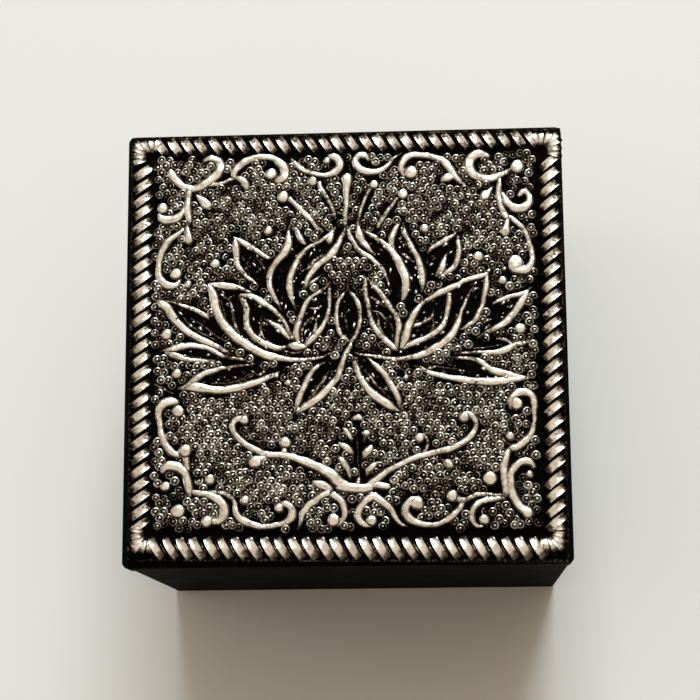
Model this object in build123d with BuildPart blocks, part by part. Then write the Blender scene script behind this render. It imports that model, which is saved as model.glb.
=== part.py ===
from build123d import *
import math
import os

# A small hinged wooden box that keeps a round cake of rosin. The lid carries a sheet of
# embossed pewter, set down in pitch and glued to the top panel.
# Millimetres. Origin: middle of the footprint, on the table. +Z up, +X right, front at -Y.

# Carcass
box_width = 60.0  # lid top panel, left to right and front to back
wood_top = 47.0  # upper face of the lid's top panel
seam_height = 25.0  # plane where lid and body part, which also holds the hinge axis
seam_gap = 0.1  # daylight between the two closed rims
overhang = 0.2  # the top panel stands this far past the walls
wall = 5.5  # thickness of the four walls and of the lid's rails
panel_thick = 4.0  # bottom panel and lid top panel
corner_radius = 0.9  # upright outer corners
arris = 0.35  # softened upper edge of the top panel
felt_thick = 0.8
felt_inset = 0.6

# Lining, seat and cake
lining = 0.8
lining_setback = 1.2  # linings stop this far from the seam plane
cake_radius = 21.5
cake_height = 20.0
cake_crown = 0.4  # the middle of the cake stands this much above its shoulder
cake_top_round = 1.6
cake_foot_round = 0.6
cake_bottom = 12.0
cake_play = 0.3  # between the cake and its pocket
seat_top = 21.5
seat_play = 0.1  # between the seat block and the side linings

# Hinges
hinge_offset = 16.0  # middle of each hinge from the box's middle
hinge_length = 12.0
barrel_radius = 1.2
barrel_room = 0.15  # wood cut clear of the barrel
pin_radius = 0.55
pin_play = 0.02
pin_head_radius = 0.85
pin_head = 0.4
knuckle_gap = 0.1
middle_knuckle = 4.0
leaf_thick = 0.7
leaf_reach = 4.1  # from the hinge axis to the leaf's inner edge
leaf_play = 0.05
knuckle_clear = 1.4  # the leaf's plate starts this far from the axis
open_angle = 105.0  # the two back bevels meet just past this

# Screws
screw_spacing = 7.2
screw_inset = 2.8  # from the hinge axis
shank_radius = 0.47
screw_head_radius = 0.87
screw_head = 0.4
screw_length = 4.4
pilot_radius = 0.5
slot_width = 0.25
slot_depth = 0.18

# Pewter sheet, cut by hand a little out of square: back left, back right, front right, front left
sheet_corners = [(-29.55, 29.7), (29.8, 29.65), (29.4, -29.75), (-29.25, -29.15)]
sheet_thick = 0.5
filler_thick = 0.3
border_width = 2.7
border_height = 0.8  # rope border above the sheet
border_round = 0.45
lotus_heart = (0.2, -1.0)
lotus_height = 0.7  # petals above the sheet
petal_foot = 4.5  # the petals start this far from the heart
petal_width = 2.6
petal_sink = 0.1

# Worked out from the above
half = box_width / 2 - overhang
inner = half - wall
axis_y = half - barrel_radius
body_top = seam_height - seam_gap / 2
lid_bottom = seam_height + seam_gap / 2
rail_top = wood_top - panel_thick
floor_top = felt_thick + panel_thick
lining_face = inner - lining
bevel_drop = barrel_radius * math.tan(math.radians(open_angle / 2))
hinge_centres = [-hinge_offset, hinge_offset]
outer_knuckle = middle_knuckle / 2 + knuckle_gap
body_knuckles = [(-hinge_length / 2, -outer_knuckle), (outer_knuckle, hinge_length / 2)]
lid_knuckles = [(-middle_knuckle / 2, middle_knuckle / 2)]

os.makedirs("parts", exist_ok=True)


def save(part, name):
    part.label = name
    export_step(part, f"parts/{name}.step")


def bevelled_outline(front, low, high, into):
    # Upright section of a board in the YZ plane, with the back bevel on its seam edge.
    # into is -1 for the body, whose seam edge is its top, and +1 for the lid.
    if into < 0:
        corners = [(front, low), (half, low), (half, high - bevel_drop), (axis_y, high), (front, high)]
    else:
        corners = [(front, low), (axis_y, low), (half, low + bevel_drop), (half, high), (front, high)]
    with BuildSketch(Plane.YZ) as outline:
        with BuildLine():
            Polyline(*corners, close=True)
        make_face()
    return outline.sketch


def side_board(side, low, high, into):
    # Left (-1) or right (+1) wall or rail, which runs the full depth of the box.
    section = bevelled_outline(-half, low, high, into)
    with BuildPart() as board:
        extrude(section.moved(Location((side * (half - wall / 2), 0, 0))), amount=wall / 2, both=True)
        upright = board.edges().filter_by(Axis.Z).sort_by(Axis.X)
        fillet(upright[:2] if side < 0 else upright[-2:], corner_radius - overhang)
    return board.part


def front_board(low, high):
    # Front wall or rail, which fits between the two sides.
    with BuildPart() as board:
        with BuildSketch(Plane.XY.offset(low)):
            with Locations((0, -half + wall / 2)):
                Rectangle(2 * inner, wall)
        extrude(amount=high - low)
    return board.part


def screw_places(into):
    # Planes at the seam face of the body (-1) or the lid (+1), facing out of the wood.
    places = []
    for centre in hinge_centres:
        for step in (-screw_spacing / 2, screw_spacing / 2):
            spot = (centre + step, axis_y - screw_inset, seam_height + into * seam_gap / 2)
            places.append(Plane(origin=spot, x_dir=(1, 0, 0), z_dir=(0, 0, -into)))
    return places


def back_board(low, high, into):
    # Back wall or rail, let in for the hinge leaves, barrels and screws.
    section = bevelled_outline(inner, low, high, into)
    recess_depth = leaf_thick + leaf_play + seam_gap / 2
    with BuildPart() as board:
        extrude(section, amount=inner, both=True)
        for centre in hinge_centres:
            with Locations((centre, axis_y, seam_height)):
                Cylinder(
                    barrel_radius + barrel_room,
                    hinge_length + 2 * (pin_head + barrel_room),
                    rotation=(0, 90, 0),
                    mode=Mode.SUBTRACT,
                )
            with Locations((centre, axis_y - inner, seam_height + into * recess_depth / 2)):
                Box(
                    hinge_length + 2 * leaf_play,
                    2 * inner,
                    recess_depth,
                    mode=Mode.SUBTRACT,
                )
        with Locations(*screw_places(into)):
            Hole(pilot_radius, screw_length + pilot_radius)
    return board.part


def hinge_leaf(centre, into, knuckles):
    # One leaf: a plate let into the wood, with its share of the barrel's knuckles.
    plate_height = seam_height + into * (seam_gap + leaf_thick) / 2
    plate_depth = leaf_reach - knuckle_clear
    tab_depth = knuckle_clear - pin_radius
    with BuildPart() as leaf:
        with Locations((centre, axis_y - knuckle_clear - plate_depth / 2, plate_height)):
            Box(hinge_length, plate_depth, leaf_thick)
        for start, end in knuckles:
            middle = centre + (start + end) / 2
            with Locations((middle, axis_y - knuckle_clear + tab_depth / 2, plate_height)):
                Box(end - start, tab_depth, leaf_thick)
            with Locations((middle, axis_y, seam_height)):
                Cylinder(barrel_radius, end - start, rotation=(0, 90, 0))
        with Locations((centre, axis_y, seam_height)):
            Cylinder(pin_radius + pin_play, hinge_length, rotation=(0, 90, 0), mode=Mode.SUBTRACT)
        own_screws = [place for place in screw_places(into) if abs(place.origin.X - centre) < hinge_length]
        with Locations(*own_screws):
            CounterSinkHole(pilot_radius, screw_head_radius + leaf_play)
    return leaf.part


def hinge_pin(centre):
    # Wire pin with a small rounded head at each end.
    with BuildPart() as pin:
        with Locations((centre, axis_y, seam_height)):
            Cylinder(pin_radius, hinge_length, rotation=(0, 90, 0))
        for side in (-1, 1):
            with Locations((centre + side * (hinge_length + pin_head) / 2, axis_y, seam_height)):
                Cylinder(pin_head_radius, pin_head, rotation=(0, 90, 0))
        tips = pin.edges().filter_by(GeomType.CIRCLE).sort_by(Axis.X)
        fillet([tips[0], tips[-1]], pin_head / 2)
    return pin.part


def screws(into):
    # The four countersunk screws of one side of the hinges.
    tip_length = 2 * shank_radius
    with BuildPart() as group:
        with Locations(*screw_places(into)):
            Cone(shank_radius, screw_head_radius, screw_head, align=(Align.CENTER, Align.CENTER, Align.MAX))
        with Locations(*[place.offset(-screw_head) for place in screw_places(into)]):
            Cylinder(
                shank_radius,
                screw_length - screw_head - tip_length,
                align=(Align.CENTER, Align.CENTER, Align.MAX),
            )
        with Locations(*[place.offset(-screw_length) for place in screw_places(into)]):
            Cone(0.1, shank_radius, tip_length, align=(Align.CENTER, Align.CENTER, Align.MIN))
        with Locations(*screw_places(into)):
            Box(
                3 * screw_head_radius,
                slot_width,
                slot_depth,
                align=(Align.CENTER, Align.CENTER, Align.MAX),
                mode=Mode.SUBTRACT,
            )
    return group.part


def flat_pad(width, depth, low, thick, round_corner=0.0):
    # A flat square-cornered or round-cornered sheet lying level.
    with BuildPart() as pad:
        with BuildSketch(Plane.XY.offset(low)):
            if round_corner:
                RectangleRounded(width, depth, round_corner)
            else:
                Rectangle(width, depth)
        extrude(amount=thick)
    return pad.part


def side_linings(low, high):
    # Four strips against the inner faces: front and back run full width, the others between.
    height = high - low
    long_place = inner - lining / 2
    strips = {}
    for name, x, y, along_x, along_y in (
        ("front", 0, -long_place, 2 * inner, lining),
        ("back", 0, long_place, 2 * inner, lining),
        ("left", -long_place, 0, lining, 2 * lining_face),
        ("right", long_place, 0, lining, 2 * lining_face),
    ):
        with BuildPart() as strip:
            with Locations((x, y, low + height / 2)):
                Box(along_x, along_y, height)
        strips[name] = strip.part
    return strips


# Base felt and body carcass
save(flat_pad(2 * (half - felt_inset), 2 * (half - felt_inset), 0, felt_thick, corner_radius), "base_felt")
save(flat_pad(2 * inner, 2 * inner, felt_thick, panel_thick), "bottom_panel")
save(front_board(felt_thick, body_top), "body_front_wall")
save(back_board(felt_thick, body_top, -1), "body_back_wall")
save(side_board(-1, felt_thick, body_top, -1), "body_left_wall")
save(side_board(1, felt_thick, body_top, -1), "body_right_wall")

# Body lining
save(flat_pad(2 * inner, 2 * inner, floor_top, lining), "body_floor_lining")
for name, strip in side_linings(floor_top + lining, seam_height - lining_setback).items():
    save(strip, f"body_{name}_lining")

# Seat block with a round pocket, the pad that fills its lower part, and the cake
with BuildPart() as cake_seat:
    with BuildSketch(Plane.XY.offset(floor_top + lining)):
        RectangleRounded(2 * (lining_face - seat_play), 2 * (lining_face - seat_play), corner_radius)
        Circle(cake_radius + cake_play, mode=Mode.SUBTRACT)
    extrude(amount=seat_top - floor_top - lining)
    fillet(cake_seat.faces().sort_by(Axis.Z)[-1].outer_wire().edges(), arris)
save(cake_seat.part, "cake_seat")

with BuildPart() as cake_plinth:
    with BuildSketch(Plane.XY.offset(floor_top + lining)):
        Circle(cake_radius)
    extrude(amount=cake_bottom - floor_top - lining)
save(cake_plinth.part, "cake_plinth")

shoulder = cake_bottom + cake_height - cake_crown
crown_radius = (cake_radius**2 + cake_crown**2) / (2 * cake_crown)
crown_turn = math.degrees(math.asin(cake_radius / crown_radius))
with BuildPart() as rosin_cake:
    with BuildSketch(Plane.XZ) as cake_profile:
        with BuildLine():
            crown = CenterArc((0, shoulder + cake_crown - crown_radius), crown_radius, 90, -crown_turn)
            Polyline(crown @ 1, (cake_radius, cake_bottom), (0, cake_bottom), crown @ 0)
        make_face()
        fillet(cake_profile.vertices().sort_by(Axis.X)[-2:].sort_by(Axis.Y)[0], cake_foot_round)
        fillet(cake_profile.vertices().sort_by(Axis.X)[-2:].sort_by(Axis.Y)[1], cake_top_round)
    revolve(axis=Axis.Z)
save(rosin_cake.part, "rosin_cake")

# Lid carcass
with BuildPart() as lid_top_panel:
    with BuildSketch(Plane.XY.offset(rail_top)):
        RectangleRounded(box_width, box_width, corner_radius)
    extrude(amount=panel_thick)
    fillet(lid_top_panel.edges().group_by(Axis.Z)[-1], arris)
save(lid_top_panel.part, "lid_top_panel")
save(front_board(lid_bottom, rail_top), "lid_front_rail")
save(back_board(lid_bottom, rail_top, 1), "lid_back_rail")
save(side_board(-1, lid_bottom, rail_top, 1), "lid_left_rail")
save(side_board(1, lid_bottom, rail_top, 1), "lid_right_rail")

# Lid lining
save(flat_pad(2 * inner, 2 * inner, rail_top - lining, lining), "lid_top_lining")
for name, strip in side_linings(seam_height + lining_setback, rail_top - lining).items():
    save(strip, f"lid_{name}_lining")

# Hinges
for side, centre in zip(("left", "right"), hinge_centres):
    save(hinge_leaf(centre, -1, body_knuckles), f"hinge_body_leaf_{side}")
    save(hinge_leaf(centre, 1, lid_knuckles), f"hinge_lid_leaf_{side}")
    save(hinge_pin(centre), f"hinge_pin_{side}")
save(screws(-1), "hinge_body_screws")
save(screws(1), "hinge_lid_screws")

# Pewter sheet: a shallow upturned tray whose border stands as a rope-thick band, filled
# with pitch from behind. The lotus stands on it as lens-shaped petals round one heart,
# each given by its angle from the right and by how far its tip is from the heart.
petal_reach = {
    90: 16.5,
    62: 17.5,
    118: 17.5,
    40: 20.0,
    140: 20.0,
    22: 22.0,
    158: 22.0,
    5: 24.5,
    175: 24.5,
    -11: 24.0,
    191: 24.0,
    -52: 11.0,
    232: 11.0,
}
sheet_top = wood_top + sheet_thick
with BuildSketch(Plane.XY.offset(wood_top)) as sheet_outline:
    with BuildLine():
        Polyline(*sheet_corners, close=True)
    make_face()
with BuildSketch(Plane.XY.offset(wood_top)) as sheet_field:
    add(sheet_outline.sketch)
    offset(amount=-border_width, kind=Kind.INTERSECTION, mode=Mode.REPLACE)

with BuildPart() as relief_plate:
    add(extrude(sheet_outline.sketch, amount=sheet_thick, mode=Mode.PRIVATE))
    add(extrude(sheet_field.sketch, amount=filler_thick, mode=Mode.PRIVATE), mode=Mode.SUBTRACT)
    with BuildSketch(Plane.XY.offset(sheet_top)):
        add(sheet_outline.sketch.moved(Location((0, 0, -wood_top))))
        add(sheet_field.sketch.moved(Location((0, 0, -wood_top))), mode=Mode.SUBTRACT)
    extrude(amount=border_height)
    fillet(relief_plate.edges().group_by(Axis.Z)[-1], border_round)
    with BuildSketch(Plane.XY.offset(sheet_top - petal_sink)):
        for angle, reach in petal_reach.items():
            out = Vector(1, 0, 0).rotate(Axis.Z, angle)
            across = Vector(0, 1, 0).rotate(Axis.Z, angle) * (petal_width / 2)
            foot = Vector(*lotus_heart) + out * petal_foot
            tip = Vector(*lotus_heart) + out * reach
            middle = (foot + tip) * 0.5
            with BuildLine():
                ThreePointArc(foot, middle + across, tip)
                ThreePointArc(tip, middle - across, foot)
            make_face()
    extrude(amount=lotus_height + petal_sink)
save(relief_plate.part, "relief_plate")

with BuildPart() as plate_filler:
    add(extrude(sheet_field.sketch, amount=filler_thick, mode=Mode.PRIVATE))
save(plate_filler.part, "plate_filler")
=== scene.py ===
import math
import random
import bpy
from mathutils import Matrix, Vector, noise
from mathutils.kdtree import KDTree


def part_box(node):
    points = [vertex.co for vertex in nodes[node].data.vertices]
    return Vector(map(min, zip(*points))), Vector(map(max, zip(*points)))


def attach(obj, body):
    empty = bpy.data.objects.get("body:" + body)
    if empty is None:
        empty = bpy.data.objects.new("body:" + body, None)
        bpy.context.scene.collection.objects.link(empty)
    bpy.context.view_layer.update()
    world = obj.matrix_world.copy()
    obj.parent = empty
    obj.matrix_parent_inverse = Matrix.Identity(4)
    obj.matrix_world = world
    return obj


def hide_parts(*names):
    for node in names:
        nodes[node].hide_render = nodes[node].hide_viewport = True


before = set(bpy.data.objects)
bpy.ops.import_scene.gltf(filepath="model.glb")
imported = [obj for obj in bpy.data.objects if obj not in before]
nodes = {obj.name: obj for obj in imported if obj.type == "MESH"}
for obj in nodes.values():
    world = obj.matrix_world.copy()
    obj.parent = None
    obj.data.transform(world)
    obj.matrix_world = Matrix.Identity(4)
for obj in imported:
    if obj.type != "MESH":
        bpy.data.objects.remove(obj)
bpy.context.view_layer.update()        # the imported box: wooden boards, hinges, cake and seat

mm = 0.001
fullTurn = 6.28
weldNear = 0.004        # mm
noiseSeed = 7
noise.seed_set(noiseSeed)        # hand work wanders the same way on every run
print("frame loaded:", len(nodes), "nodes")


def srgb(hexColour):
    channels = [int(hexColour[i:i + 2], 16) / 255 for i in (1, 3, 5)]
    linear = [c / 12.92 if c <= 0.04045 else ((c + 0.055) / 1.055) ** 2.4 for c in channels]
    return (linear[0], linear[1], linear[2], 1.0)


def pickOnly(thing):
    bpy.ops.object.select_all(action="DESELECT")
    thing.select_set(True)
    bpy.context.view_layer.objects.active = thing


def joinAll(things, name):
    pickOnly(things[0])
    for thing in things:
        thing.select_set(True)
    bpy.ops.object.join()
    joined = bpy.context.view_layer.objects.active
    joined.name = name
    joined.data.name = name
    return joined


def settle(thing):
    pickOnly(thing)
    bpy.ops.object.transform_apply(location=True, rotation=True, scale=True)


def editAll(thing, *steps):
    # each step starts with every face of the piece selected
    pickOnly(thing)
    bpy.ops.object.mode_set(mode="EDIT")
    for step in steps:
        bpy.ops.mesh.select_all(action="SELECT")
        step()
    bpy.ops.object.mode_set(mode="OBJECT")


def weld(thing, near):
    editAll(thing, lambda: bpy.ops.mesh.remove_doubles(threshold=near * mm))


def faceOut(thing):
    editAll(thing, lambda: bpy.ops.mesh.normals_make_consistent(inside=False))


def finishMesh(thing, material, angle):
    weld(thing, weldNear)
    bpy.ops.object.shade_smooth_by_angle(angle=math.radians(angle))
    thing.data.materials.clear()
    thing.data.materials.append(material)


def addNode(tree, kind, settings=None, links=None, stops=()):
    # settings go to a property or a socket, links to a socket, stops are the places and colours of a ramp
    node = tree.nodes.new(kind)
    for key, value in (settings or {}).items():
        if isinstance(key, str) and hasattr(node, key) and not key[0].isupper():
            setattr(node, key, value)
        else:
            node.inputs[key].default_value = value
    for key, source in (links or {}).items():
        tree.links.new(source, node.inputs[key])
    if len(stops) > 2:
        node.color_ramp.elements.new(0.5)
    for i, (place, colour) in enumerate(stops):
        node.color_ramp.elements[i].position = place
        node.color_ramp.elements[i].color = srgb(colour)
    return node


def newMaterial(name, settings):
    material = bpy.data.materials.new(name)
    material.use_nodes = True
    tree = material.node_tree
    shader = tree.nodes["Principled BSDF"]
    for key, value in settings.items():
        shader.inputs[key].default_value = value
    coords = addNode(tree, "ShaderNodeTexCoord").outputs["Object"]
    return material, tree, shader, coords


def feed(shader, links):
    for key, source in links.items():
        shader.id_data.links.new(source, shader.inputs[key])


cameraSet = {
    "place": (0.014286, -0.049757, 0.28949), "turn": (11.35633, 3.29499, -0.42429),
    "lens": 94.17, "sensor": 36, "nearest": 0.01,
}

cameraData = bpy.data.cameras.new("camera")
cameraData.lens = cameraSet["lens"]
cameraData.sensor_width = cameraSet["sensor"]
cameraData.clip_start = cameraSet["nearest"]
camera = bpy.data.objects.new("camera", cameraData)
camera.location = cameraSet["place"]
camera.rotation_euler = [math.radians(a) for a in cameraSet["turn"]]
bpy.context.scene.collection.objects.link(camera)
bpy.context.scene.camera = camera
bpy.context.scene.view_settings.view_transform = "Standard"

floorSet = {"size": 6.0, "cells": 8, "dark": "#e4e5e2", "light": "#e9eae8"}


def paintedBoard():
    # satin white painted board, faintly mottled in patches of about 110 mm
    material, tree, shader, coords = newMaterial("satinWhiteBoard", {"Roughness": 0.55})
    mottle = addNode(tree, "ShaderNodeTexNoise", {"Scale": 9.0, "Detail": 3.0}, {"Vector": coords})
    # sockets 6 and 7 of a mix are its two colours
    mix = addNode(tree, "ShaderNodeMix", {"data_type": "RGBA", 6: srgb(floorSet["dark"]), 7: srgb(floorSet["light"])},
                  {0: mottle.outputs[0]})
    feed(shader, {"Base Color": mix.outputs[2]})
    return material


bpy.ops.object.select_all(action="DESELECT")
bpy.ops.mesh.primitive_grid_add(x_subdivisions=floorSet["cells"], y_subdivisions=floorSet["cells"],
                                size=floorSet["size"], location=(0, 0, 0))
floor = bpy.context.object
floor.name = "floor"
floor.data.materials.append(paintedBoard())

lightSet = {
    # name: place, aim, width, depth, watts, colour
    "window": ((0.22, 2.4, 1.95), (0.0, 0.0, 0.02), 1.3, 2.8, 103.0, "#f3fbff"),
    "ceiling": ((0.0, 0.45, 1.9), (0.0, 0.1, 0.0), 2.6, 2.6, 21.0, "#ffeeda"),
    "sideFill": ((-1.4, 0.2, 0.7), (0.0, 0.0, 0.02), 0.8, 0.8, 3.0, "#fffdf8"),
}
for name, (place, aim, width, depth, watts, colour) in lightSet.items():
    lamp = bpy.data.lights.new(name, "AREA")
    lamp.shape = "RECTANGLE"
    lamp.size = width
    lamp.size_y = depth
    lamp.energy = watts
    lamp.color = srgb(colour)[:3]
    holder = bpy.data.objects.new(name, lamp)
    holder.location = place
    holder.rotation_euler = (Vector(aim) - Vector(place)).to_track_quat("-Z", "Y").to_euler()
    bpy.context.scene.collection.objects.link(holder)
roomSet = {"Color": srgb("#6f5c3e"), "Strength": 0.45}
room = bpy.data.worlds.new("room")
room.use_nodes = True
for key, value in roomSet.items():
    room.node_tree.nodes["Background"].inputs[key].default_value = value
bpy.context.scene.world = room
print("camera, floor and light are set")

pewterSet = {
    "sooty": "#080605", "brown": "#574a3d", "worn": "#d2d0c8", "stain": "#786a5a",
    "rubFrom": 0.04806, "rubTo": 0.04839,        # heights in metres where rubbing starts and where it is full
    "cloudLift": 0.0003, "speckLift": 0.0005,    # how far clouds and specks move those heights
}


def pewterPatina():
    # cast pewter, blackened and rubbed back: dark in the hollows, worn bright on all that stands up
    material, tree, shader, coords = newMaterial("castPewterAntiqued", {"Roughness": 0.42, "Metallic": 1.0})
    split = addNode(tree, "ShaderNodeSeparateXYZ", None, {0: coords})
    # clouds of 2.4 mm and specks of 0.4 mm
    cloud = addNode(tree, "ShaderNodeTexNoise", {"Scale": 420.0, "Detail": 4.0, "Roughness": 0.6}, {"Vector": coords})
    speck = addNode(tree, "ShaderNodeTexNoise", {"Scale": 2600.0, "Detail": 3.0}, {"Vector": coords})
    clouded = addNode(tree, "ShaderNodeMath", {"operation": "MULTIPLY_ADD", 1: pewterSet["cloudLift"]},
                      {0: cloud.outputs[0], 2: split.outputs[2]})
    specked = addNode(tree, "ShaderNodeMath", {"operation": "MULTIPLY_ADD", 1: pewterSet["speckLift"]},
                      {0: speck.outputs[0], 2: clouded.outputs[0]})
    rub = addNode(tree, "ShaderNodeMapRange", {"interpolation_type": "SMOOTHSTEP", "From Min": pewterSet["rubFrom"],
                                               "From Max": pewterSet["rubTo"]}, {"Value": specked.outputs[0]})
    ramp = addNode(tree, "ShaderNodeValToRGB", None, {0: rub.outputs[0]},
                   ((0.0, pewterSet["sooty"]), (0.45, pewterSet["brown"]), (1.0, pewterSet["worn"])))
    # brown stains of 1.3 mm left on the worn metal
    stain = addNode(tree, "ShaderNodeTexNoise", {"Scale": 760.0, "Detail": 3.0, "Roughness": 0.6}, {"Vector": coords})
    stained = addNode(tree, "ShaderNodeMapRange", {"From Min": 0.46, "From Max": 0.7, "To Max": 0.55},
                      {"Value": stain.outputs[0]})
    dirty = addNode(tree, "ShaderNodeMix", {"data_type": "RGBA", 7: srgb(pewterSet["stain"])},
                    {0: stained.outputs[0], 6: ramp.outputs[0]})
    shade = addNode(tree, "ShaderNodeMix", {"data_type": "RGBA"},
                    {0: rub.outputs[0], 6: ramp.outputs[0], 7: dirty.outputs[2]})
    rough = addNode(tree, "ShaderNodeMapRange", {"To Min": 0.6, "To Max": 0.27}, {"Value": rub.outputs[0]})
    # grit of 1.6 mm, coarser than the real one so that it shows
    grit = addNode(tree, "ShaderNodeTexNoise", {"Scale": 620.0, "Detail": 2.0, "Roughness": 0.45}, {"Vector": coords})
    bump = addNode(tree, "ShaderNodeBump", {"Strength": 0.5, "Distance": 0.0003}, {"Height": grit.outputs[0]})
    feed(shader, {"Base Color": shade.outputs[2], "Roughness": rough.outputs[0], "Normal": bump.outputs[0]})
    return material


woodSet = {"dark": "#050705", "light": "#0e110d", "acrossGrain": 900.0, "alongGrain": 45.0, "specular": 0.006}


def blackStainedWood(name, along):
    # close-grained wood stained and varnished black: satin, open grain just felt through the film
    material, tree, shader, coords = newMaterial(name, {"Roughness": 0.6, "Specular IOR Level": woodSet["specular"]})
    # grain 1.1 mm wide and 22 mm long
    stretch = [woodSet["acrossGrain"]] * 3
    stretch["xyz".index(along)] = woodSet["alongGrain"]
    place = addNode(tree, "ShaderNodeMapping", {"Scale": stretch}, {0: coords})
    grain = addNode(tree, "ShaderNodeTexNoise", {"Scale": 1.0, "Detail": 4.0, "Roughness": 0.6},
                    {"Vector": place.outputs[0]})
    ramp = addNode(tree, "ShaderNodeValToRGB", None, {0: grain.outputs[0]},
                   ((0.35, woodSet["dark"]), (0.75, woodSet["light"])))
    # the film is duller in patches of 6 mm
    dull = addNode(tree, "ShaderNodeTexNoise", {"Scale": 160.0, "Detail": 3.0}, {"Vector": coords})
    rough = addNode(tree, "ShaderNodeMapRange", {"To Min": 0.5, "To Max": 0.7}, {"Value": dull.outputs[0]})
    bump = addNode(tree, "ShaderNodeBump", {"Strength": 0.3, "Distance": 0.00008}, {"Height": grain.outputs[0]})
    feed(shader, {"Base Color": ramp.outputs[0], "Roughness": rough.outputs[0], "Normal": bump.outputs[0]})
    return material


def pileCloth(name, dark, light, pileMm, sheen):
    # short cut pile: mottled where it leans, with a soft sheen at grazing angles
    material, tree, shader, coords = newMaterial(
        name, {"Roughness": 0.9, "Sheen Weight": sheen, "Sheen Roughness": 0.35})
    # it leans in patches of 5 mm
    lean = addNode(tree, "ShaderNodeTexNoise", {"Scale": 190.0, "Detail": 3.0}, {"Vector": coords})
    tuft = addNode(tree, "ShaderNodeTexVoronoi", {"Scale": 1000.0 / pileMm}, {"Vector": coords})
    blend = addNode(tree, "ShaderNodeMath", {"operation": "MULTIPLY_ADD", 1: 0.45},
                    {0: tuft.outputs[0], 2: lean.outputs[0]})
    ramp = addNode(tree, "ShaderNodeValToRGB", None, {0: blend.outputs[0]}, ((0.4, dark), (0.85, light)))
    bump = addNode(tree, "ShaderNodeBump", {"Strength": 0.4, "Distance": 0.00015}, {"Height": tuft.outputs[0]})
    feed(shader, {"Base Color": ramp.outputs[0], "Normal": bump.outputs[0]})
    return material


def drawnBrass():
    # lacquered drawn brass: fine lengthwise scratches, a little brown tarnish in patches
    material, tree, shader, coords = newMaterial("drawnBrass", {"Roughness": 0.3, "Metallic": 1.0})
    # scratches 0.17 mm wide and 3.3 mm long, tarnish in patches of 3 mm
    place = addNode(tree, "ShaderNodeMapping", {"Scale": (300.0, 6000.0, 6000.0)}, {0: coords})
    scratch = addNode(tree, "ShaderNodeTexNoise", {"Scale": 1.0, "Detail": 4.0}, {"Vector": place.outputs[0]})
    patch = addNode(tree, "ShaderNodeTexNoise", {"Scale": 330.0, "Detail": 4.0}, {"Vector": coords})
    ramp = addNode(tree, "ShaderNodeValToRGB", None, {0: patch.outputs[0]}, ((0.35, "#a5793a"), (0.6, "#d9b465")))
    rough = addNode(tree, "ShaderNodeMapRange", {"To Min": 0.2, "To Max": 0.42}, {"Value": scratch.outputs[0]})
    bump = addNode(tree, "ShaderNodeBump", {"Strength": 0.2, "Distance": 0.00003}, {"Height": scratch.outputs[0]})
    feed(shader, {"Base Color": ramp.outputs[0], "Roughness": rough.outputs[0], "Normal": bump.outputs[0]})
    return material


rosinSet = {"dark": "#8c3d0c", "light": "#d5831f", "dust": "#e8d9b8", "dustFrom": 0.0312, "dustTo": 0.0324}


def pouredRosin():
    # poured colophony: clear amber with cloudy swirls, dusted pale where the bow has rubbed it
    material, tree, shader, coords = newMaterial(
        "pouredRosin", {"Roughness": 0.2, "Transmission Weight": 0.6, "IOR": 1.54})
    # swirls of 13 mm
    swirl = addNode(tree, "ShaderNodeTexNoise", {"Scale": 75.0, "Detail": 2.0, "Distortion": 0.4}, {"Vector": coords})
    amber = addNode(tree, "ShaderNodeValToRGB", None, {0: swirl.outputs[0]},
                    ((0.3, rosinSet["dark"]), (0.72, rosinSet["light"])))
    # bow tracks 1.1 mm wide and 25 mm long, on the top face only
    place = addNode(tree, "ShaderNodeMapping", {"Rotation": (0.0, 0.0, math.radians(28)), "Scale": (40.0, 900.0, 40.0)},
                    {0: coords})
    streak = addNode(tree, "ShaderNodeTexNoise", {"Scale": 1.0, "Detail": 4.0}, {"Vector": place.outputs[0]})
    split = addNode(tree, "ShaderNodeSeparateXYZ", None, {0: coords})
    high = addNode(tree, "ShaderNodeMapRange", {"From Min": rosinSet["dustFrom"], "From Max": rosinSet["dustTo"]},
                   {"Value": split.outputs[2]})
    tracks = addNode(tree, "ShaderNodeMath", {"operation": "MULTIPLY"}, {0: streak.outputs[0], 1: high.outputs[0]})
    dust = addNode(tree, "ShaderNodeMapRange", {"From Min": 0.38, "From Max": 0.9}, {"Value": tracks.outputs[0]})
    mix = addNode(tree, "ShaderNodeMix", {"data_type": "RGBA", 7: srgb(rosinSet["dust"])},
                  {0: dust.outputs[0], 6: amber.outputs[0]})
    rough = addNode(tree, "ShaderNodeMapRange", {"To Min": 0.14, "To Max": 0.75}, {"Value": dust.outputs[0]})
    bump = addNode(tree, "ShaderNodeBump", {"Strength": 0.2, "Distance": 0.0001}, {"Height": streak.outputs[0]})
    feed(shader, {"Base Color": mix.outputs[2], "Roughness": rough.outputs[0], "Normal": bump.outputs[0]})
    return material


def pressedPitch():
    # warm pitch pressed flat under the metal: dull, with lumps of 3 mm
    material, tree, shader, coords = newMaterial("pressedPitch", {"Roughness": 0.75})
    lump = addNode(tree, "ShaderNodeTexNoise", {"Scale": 350.0, "Detail": 4.0}, {"Vector": coords})
    ramp = addNode(tree, "ShaderNodeValToRGB", None, {0: lump.outputs[0]}, ((0.0, "#1a1613"), (1.0, "#3a332c")))
    bump = addNode(tree, "ShaderNodeBump", {"Strength": 0.5, "Distance": 0.0002}, {"Height": lump.outputs[0]})
    feed(shader, {"Base Color": ramp.outputs[0], "Normal": bump.outputs[0]})
    return material


pewter = pewterPatina()
woodAcross = blackStainedWood("blackStainedWoodAcross", "x")
woodDeep = blackStainedWood("blackStainedWoodDeep", "y")
velvet = pileCloth("wineVelvetPile", "#3a0610", "#7d1226", 0.35, 0.8)
feltCloth = pileCloth("blackWoolFelt", "#121212", "#2c2c2b", 0.7, 0.3)
brass = drawnBrass()
rosin = pouredRosin()
pitch = pressedPitch()
print("finishes are mixed")

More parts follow.
